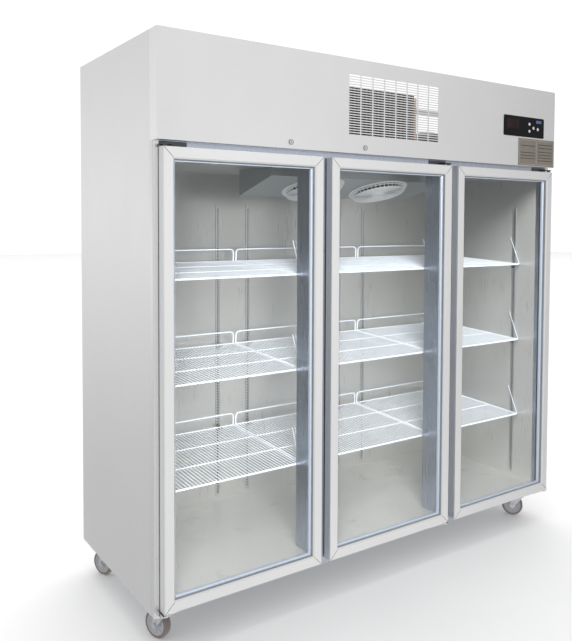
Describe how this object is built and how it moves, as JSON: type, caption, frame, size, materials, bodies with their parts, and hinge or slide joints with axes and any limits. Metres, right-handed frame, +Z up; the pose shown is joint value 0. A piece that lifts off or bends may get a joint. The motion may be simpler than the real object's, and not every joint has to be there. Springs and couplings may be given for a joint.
{
  "type": "reach-in refrigerator",
  "caption": "Tall steel reach-in refrigerator with glazed swing doors, wire shelves, a header with vent grille and controller over the doors, and swivel casters.",
  "frame": {"origin": "on the floor, under the middle of the whole object, at the level of the bottoms of the wheels", "axes": "+Z up; the doors face -Y; +X is to the right of someone who faces the doors"},
  "size_m": [2.08, 0.786, 2.11],
  "materials": {
    "side_steel": "satin",
    "header_steel": "satin",
    "frame_steel": "satin",
    "liner_steel": "satin",
    "galvanized_sheet": "matte",
    "insulation_foam": "matte foam",
    "unit_base_paint": "satin",
    "compressor_paint": "satin",
    "coil_aluminium": "finned",
    "motor_paint": "satin",
    "fan_aluminium": "satin",
    "fan_plastic": "matte",
    "copper_pipe": "dull",
    "electrical_paint": "satin",
    "controller_plastic": "gloss",
    "key_plastic": "satin",
    "lock_chrome": "polished",
    "evaporator_cover_steel": "satin",
    "guard_plastic": "satin",
    "drain_plastic": "matte",
    "standard_steel": "satin",
    "clip_steel": "satin",
    "shelf_coating": "gloss",
    "hinge_steel": "satin",
    "hinge_chrome": "polished",
    "door_aluminium": "satin anodised",
    "door_glass": "clear",
    "gasket_rubber": "matte",
    "caster_zinc": "zinc plated",
    "wheel_rubber": "matte"
  },
  "bodies": {
    "cabinet": {"left_side_panel": "side_steel", "right_side_panel": "side_steel", "back_panel": "galvanized_sheet", "base_pan": "galvanized_sheet", "insulation": "insulation_foam", "inner_liner": "liner_steel", "face_frame": "frame_steel", "door_mullions": "frame_steel", "header_panel": "header_steel", "header_deck": "galvanized_sheet", "unit_base": "unit_base_paint", "compressor": "compressor_paint", "condenser_coil": "coil_aluminium", "fan_shroud": "galvanized_sheet", "condenser_fan_motor": "motor_paint", "refrigerant_pipes": "copper_pipe", "electrical_box": "electrical_paint", "controller_bezel": "controller_plastic", "lock_housings": "lock_chrome", "evaporator_housing": "evaporator_cover_steel", "evaporator_coil": "coil_aluminium", "evaporator_fan_motors": "motor_paint", "fan_guards": "guard_plastic", "drain_pan": "drain_plastic", "shelf_standards": "standard_steel", "shelf_clips": "clip_steel", "shelves_top": "shelf_coating", "shelves_middle": "shelf_coating", "shelves_bottom": "shelf_coating", "top_hinge_brackets": "hinge_steel", "bottom_hinge_brackets": "hinge_chrome", "caster_plates": "caster_zinc"},
    "door_left": {"door_left_frame": "door_aluminium", "door_left_glass": "door_glass", "door_left_gasket": "gasket_rubber"},
    "door_middle": {"door_middle_frame": "door_aluminium", "door_middle_glass": "door_glass", "door_middle_gasket": "gasket_rubber"},
    "door_right": {"door_right_frame": "door_aluminium", "door_right_glass": "door_glass", "door_right_gasket": "gasket_rubber"},
    "lock_left": {"lock_left": "lock_chrome"},
    "lock_middle": {"lock_middle": "lock_chrome"},
    "key_up": {"key_up": "key_plastic"},
    "key_down": {"key_down": "key_plastic"},
    "key_set": {"key_set": "key_plastic"},
    "key_light": {"key_light": "key_plastic"},
    "condenser_fan": {"condenser_fan": "fan_aluminium"},
    "evaporator_fan_left": {"evaporator_fan_left": "fan_plastic"},
    "evaporator_fan_right": {"evaporator_fan_right": "fan_plastic"},
    "caster_front_left": {"caster_fork_front_left": "caster_zinc"},
    "caster_front_right": {"caster_fork_front_right": "caster_zinc"},
    "caster_rear_left": {"caster_fork_rear_left": "caster_zinc"},
    "caster_rear_right": {"caster_fork_rear_right": "caster_zinc"},
    "wheel_front_left": {"caster_wheel_front_left": "wheel_rubber"},
    "wheel_front_right": {"caster_wheel_front_right": "wheel_rubber"},
    "wheel_rear_left": {"caster_wheel_rear_left": "wheel_rubber"},
    "wheel_rear_right": {"caster_wheel_rear_right": "wheel_rubber"}
  },
  "joints": [
    {"name": "door_left_hinge", "type": "hinge", "parent": "cabinet", "child": "door_left", "pos_m": [-1.008, -0.381, 0.9], "axis": [0, 0, -1], "range_deg": [0, 110]},
    {"name": "door_middle_hinge", "type": "hinge", "parent": "cabinet", "child": "door_middle", "pos_m": [0.31467, -0.381, 0.9], "axis": [0, 0, 1], "range_deg": [0, 110]},
    {"name": "door_right_hinge", "type": "hinge", "parent": "cabinet", "child": "door_right", "pos_m": [1.008, -0.381, 0.9], "axis": [0, 0, 1], "range_deg": [0, 110]},
    {"name": "lock_left_turn", "type": "hinge", "parent": "cabinet", "child": "lock_left", "pos_m": [-0.514, -0.38, 1.768], "axis": [0, 1, 0], "range_deg": [0, 90]},
    {"name": "lock_middle_turn", "type": "hinge", "parent": "cabinet", "child": "lock_middle", "pos_m": [-0.16, -0.38, 1.768], "axis": [0, 1, 0], "range_deg": [0, 90]},
    {"name": "key_up_press", "type": "slide", "parent": "cabinet", "child": "key_up", "axis": [0, 1, 0], "range_m": [0, 0.001], "stiffness_N_per_m": 400},
    {"name": "key_down_press", "type": "slide", "parent": "cabinet", "child": "key_down", "axis": [0, 1, 0], "range_m": [0, 0.001], "stiffness_N_per_m": 400},
    {"name": "key_set_press", "type": "slide", "parent": "cabinet", "child": "key_set", "axis": [0, 1, 0], "range_m": [0, 0.001], "stiffness_N_per_m": 400},
    {"name": "key_light_press", "type": "slide", "parent": "cabinet", "child": "key_light", "axis": [0, 1, 0], "range_m": [0, 0.001], "stiffness_N_per_m": 400},
    {"name": "condenser_fan_spin", "type": "hinge", "parent": "cabinet", "child": "condenser_fan", "pos_m": [-0.05, -0.262, 1.8911], "axis": [0, 1, 0], "continuous": true},
    {"name": "evaporator_fan_left_spin", "type": "hinge", "parent": "cabinet", "child": "evaporator_fan_left", "pos_m": [-0.183, -0.067, 1.6229], "axis": [0, -0.2807, -0.9598], "continuous": true},
    {"name": "evaporator_fan_right_spin", "type": "hinge", "parent": "cabinet", "child": "evaporator_fan_right", "pos_m": [0.183, -0.067, 1.6229], "axis": [0, -0.2807, -0.9598], "continuous": true},
    {"name": "caster_front_left_swivel", "type": "hinge", "parent": "cabinet", "child": "caster_front_left", "pos_m": [-0.965, -0.275, 0.11], "axis": [0, 0, 1], "continuous": true},
    {"name": "caster_front_right_swivel", "type": "hinge", "parent": "cabinet", "child": "caster_front_right", "pos_m": [0.965, -0.275, 0.11], "axis": [0, 0, 1], "continuous": true},
    {"name": "caster_rear_left_swivel", "type": "hinge", "parent": "cabinet", "child": "caster_rear_left", "pos_m": [-0.965, 0.275, 0.11], "axis": [0, 0, 1], "continuous": true},
    {"name": "caster_rear_right_swivel", "type": "hinge", "parent": "cabinet", "child": "caster_rear_right", "pos_m": [0.965, 0.275, 0.11], "axis": [0, 0, 1], "continuous": true},
    {"name": "wheel_front_left_roll", "type": "hinge", "parent": "caster_front_left", "child": "wheel_front_left", "pos_m": [-0.97924, -0.24303, 0.05], "axis": [0.9135, 0.4067, 0], "continuous": true},
    {"name": "wheel_front_right_roll", "type": "hinge", "parent": "caster_front_right", "child": "wheel_front_right", "pos_m": [0.94345, -0.24742, 0.05], "axis": [0.788, 0.6157, 0], "continuous": true},
    {"name": "wheel_rear_left_roll", "type": "hinge", "parent": "caster_rear_left", "child": "wheel_rear_left", "pos_m": [-0.97924, 0.30697, 0.05], "axis": [0.9135, 0.4067, 0], "continuous": true},
    {"name": "wheel_rear_right_roll", "type": "hinge", "parent": "caster_rear_right", "child": "wheel_rear_right", "pos_m": [0.95772, 0.30923, 0.05], "axis": [0.9781, 0.2079, 0], "continuous": true}
  ]
}
